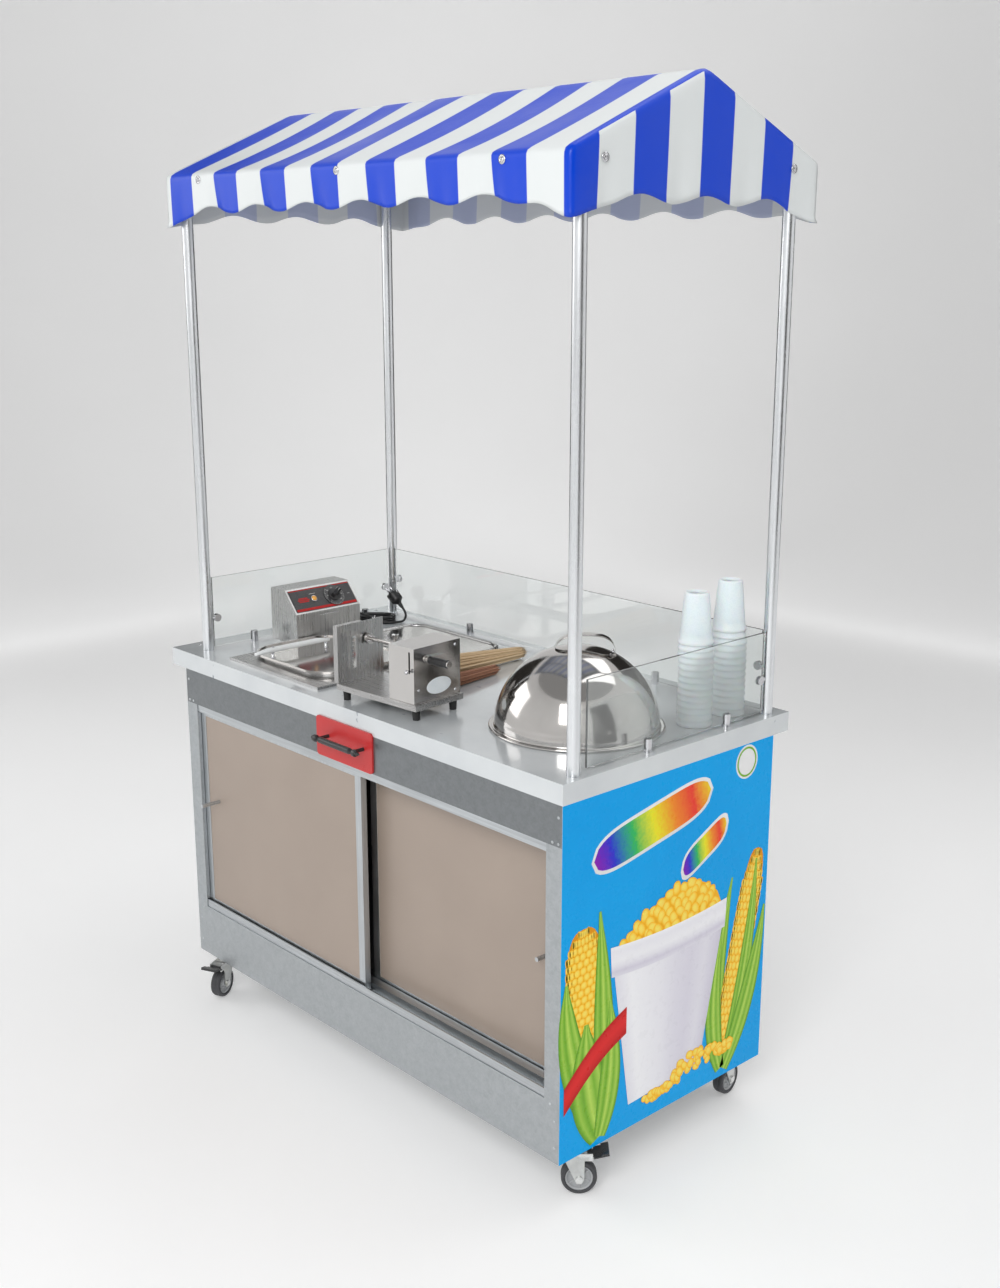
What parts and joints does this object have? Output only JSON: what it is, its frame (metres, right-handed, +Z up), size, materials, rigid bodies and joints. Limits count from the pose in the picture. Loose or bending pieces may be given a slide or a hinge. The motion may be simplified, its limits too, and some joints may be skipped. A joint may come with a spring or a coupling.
{
  "type": "push vending cart",
  "caption": "Push vending cart with sliding doors, cash drawer, fryer, heated pan, hand-cranked cutter, glass guards and striped canopy on swivel casters.",
  "frame": {"origin": "centre of the bounding box on the floor, measured without the power cord, its coil and plug", "axes": "+X along the cart's length towards the printed end, -Y towards the operator's side with the doors, +Z up"},
  "size_m": [1.33, 0.7188, 2.068],
  "materials": {
    "galvanised_steel": "spangled satin",
    "frame_steel": "satin",
    "worktop_sheet": "glossy film over sheet",
    "board_core": "raw particle board",
    "door_board": "fine-grained laminate",
    "aluminium": "anodised satin",
    "printed_sheet": "gloss print",
    "red_plastic": "semi-gloss",
    "black_plastic": "satin",
    "white_plastic": "gloss",
    "stainless": "brushed",
    "polished_steel": "mirror",
    "zinc_steel": "bright zinc",
    "tyre": "matt",
    "rubber": "matt",
    "cord_rubber": "satin",
    "glass": "clear",
    "canopy_cloth": "blue and white stripes, coated",
    "amber_lamp": "gloss",
    "cup_paper": "foam, translucent white",
    "skewer_wood": "raw",
    "nickel": "satin nickel"
  },
  "bodies": {
    "cart": {"frame_tubes": "frame_steel", "bottom_shelf": "galvanised_steel", "side_panel_right": "printed_sheet", "rear_and_left_panels": "galvanised_steel", "front_apron": "galvanised_steel", "kick_and_stiles": "galvanised_steel", "door_tracks": "aluminium", "panel_rivets": "aluminium", "worktop_core": "board_core", "worktop_skin": "worktop_sheet", "canopy_poles": "zinc_steel", "canopy_frame": "frame_steel", "canopy_cover": "canopy_cloth", "canopy_screws": "nickel", "glass_guards": "glass", "glass_clamps": "nickel", "drawer_runners": "galvanised_steel", "caster_plates": "zinc_steel", "fryer_tank": "stainless", "fryer_head": "stainless", "fryer_panel": "black_plastic", "fryer_lamp": "amber_lamp", "pan_well": "stainless", "cutter_base": "stainless", "cutter_feet": "rubber", "cutter_blade_plate": "stainless", "cutter_gearbox": "polished_steel", "power_cord": "cord_rubber", "cord_hank": "cord_rubber", "power_plug": "cord_rubber", "cord_gland": "black_plastic"},
    "door_left": {"door_left_panel": "door_board", "door_left_frame": "aluminium"},
    "door_right": {"door_right_panel": "door_board", "door_right_frame": "aluminium"},
    "drawer": {"drawer_box": "galvanised_steel", "drawer_front": "red_plastic", "drawer_handle": "black_plastic"},
    "fryer_knob": {"fryer_knob": "black_plastic"},
    "fryer_lid": {"fryer_lid": "polished_steel", "fryer_lid_handle": "white_plastic"},
    "pan_lid": {"pan_lid": "polished_steel"},
    "crank": {"cutter_crank": "stainless"},
    "crank_grip": {"cutter_grip": "black_plastic"},
    "cutter_lever": {"cutter_lever": "nickel"},
    "cloche": {"cloche_dome": "polished_steel", "cloche_handle": "polished_steel"},
    "cups_front": {"cup_stack_front": "cup_paper"},
    "cups_back": {"cup_stack_back": "cup_paper"},
    "skewers": {"skewer_bundles": "skewer_wood"},
    "fork_fl": {"caster_fl_fork": "zinc_steel"},
    "wheel_fl": {"caster_fl_wheel": "tyre"},
    "pedal_fl": {"caster_fl_brake": "black_plastic"},
    "fork_fr": {"caster_fr_fork": "zinc_steel"},
    "wheel_fr": {"caster_fr_wheel": "tyre"},
    "pedal_fr": {"caster_fr_brake": "black_plastic"},
    "fork_bl": {"caster_bl_fork": "zinc_steel"},
    "wheel_bl": {"caster_bl_wheel": "tyre"},
    "fork_br": {"caster_br_fork": "zinc_steel"},
    "wheel_br": {"caster_br_wheel": "tyre"}
  },
  "joints": [
    {"name": "door_left_slide", "type": "slide", "parent": "cart", "child": "door_left", "axis": [1, 0, 0], "range_m": [-0.034, 0.59]},
    {"name": "door_right_slide", "type": "slide", "parent": "cart", "child": "door_right", "axis": [1, 0, 0], "range_m": [-0.618, 0]},
    {"name": "drawer_slide", "type": "slide", "parent": "cart", "child": "drawer", "axis": [0, -1, 0], "range_m": [0, 0.19]},
    {"name": "caster_fl_swivel", "type": "hinge", "parent": "cart", "child": "fork_fl", "pos_m": [-0.55105, -0.27858, 0.088], "axis": [0, 0, 1], "continuous": true},
    {"name": "caster_fl_roll", "type": "hinge", "parent": "fork_fl", "child": "wheel_fl", "pos_m": [-0.54175, -0.29852, 0.035], "axis": [0.9063, 0.4226, 0], "continuous": true},
    {"name": "caster_fl_brake_press", "type": "hinge", "parent": "fork_fl", "child": "pedal_fl", "pos_m": [-0.53288, -0.31755, 0.08], "axis": [0.9063, 0.4226, 0], "range_deg": [0, 18]},
    {"name": "caster_fr_swivel", "type": "hinge", "parent": "cart", "child": "fork_fr", "pos_m": [0.59595, -0.24558, 0.088], "axis": [0, 0, 1], "continuous": true},
    {"name": "caster_fr_roll", "type": "hinge", "parent": "fork_fr", "child": "wheel_fr", "pos_m": [0.61095, -0.22949, 0.035], "axis": [-0.7314, 0.682, 0], "continuous": true},
    {"name": "caster_fr_brake_press", "type": "hinge", "parent": "fork_fr", "child": "pedal_fr", "pos_m": [0.62528, -0.21413, 0.08], "axis": [-0.7314, 0.682, 0], "range_deg": [0, 18]},
    {"name": "caster_bl_swivel", "type": "hinge", "parent": "cart", "child": "fork_bl", "pos_m": [-0.55105, 0.23942, 0.088], "axis": [0, 0, 1], "continuous": true},
    {"name": "caster_bl_roll", "type": "hinge", "parent": "fork_bl", "child": "wheel_bl", "pos_m": [-0.55487, 0.26109, 0.035], "axis": [-0.9848, -0.1736, 0], "continuous": true},
    {"name": "caster_br_swivel", "type": "hinge", "parent": "cart", "child": "fork_br", "pos_m": [0.57695, 0.23942, 0.088], "axis": [0, 0, 1], "continuous": true},
    {"name": "caster_br_roll", "type": "hinge", "parent": "fork_br", "child": "wheel_br", "pos_m": [0.57389, 0.26121, 0.035], "axis": [-0.9903, -0.1392, 0], "continuous": true},
    {"name": "thermostat_turn", "type": "hinge", "parent": "cart", "child": "fryer_knob", "pos_m": [-0.49805, 0.03842, 0.96], "axis": [0.749, 0, 0.6626], "range_deg": [-270, 0]},
    {"name": "fryer_lid_lift", "type": "slide", "parent": "cart", "child": "fryer_lid", "axis": [0, 0, 1], "range_m": [0, 0.25]},
    {"name": "pan_lid_lift", "type": "slide", "parent": "cart", "child": "pan_lid", "axis": [0, 0, 1], "range_m": [0, 0.25]},
    {"name": "crank_turn", "type": "hinge", "parent": "cart", "child": "crank", "pos_m": [-0.05677, -0.20578, 0.979], "axis": [0.9976, 0.0698, 0], "continuous": true},
    {"name": "crank_grip_spin", "type": "hinge", "parent": "crank", "child": "crank_grip", "pos_m": [0.18351, -0.23002, 0.98115], "axis": [0.9976, 0.0698, 0], "continuous": true},
    {"name": "cutter_lever_slide", "type": "slide", "parent": "cart", "child": "cutter_lever", "axis": [0, 0, 1], "range_m": [0, 0.026]},
    {"name": "cloche_lift", "type": "slide", "parent": "cart", "child": "cloche", "axis": [0, 0, 1], "range_m": [0, 0.3]},
    {"name": "cups_front_lift", "type": "slide", "parent": "cart", "child": "cups_front", "axis": [0, 0, 1], "range_m": [0, 0.3]},
    {"name": "cups_back_lift", "type": "slide", "parent": "cart", "child": "cups_back", "axis": [0, 0, 1], "range_m": [0, 0.3]},
    {"name": "skewers_lift", "type": "slide", "parent": "cart", "child": "skewers", "axis": [0, 0, 1], "range_m": [0, 0.1]}
  ]
}
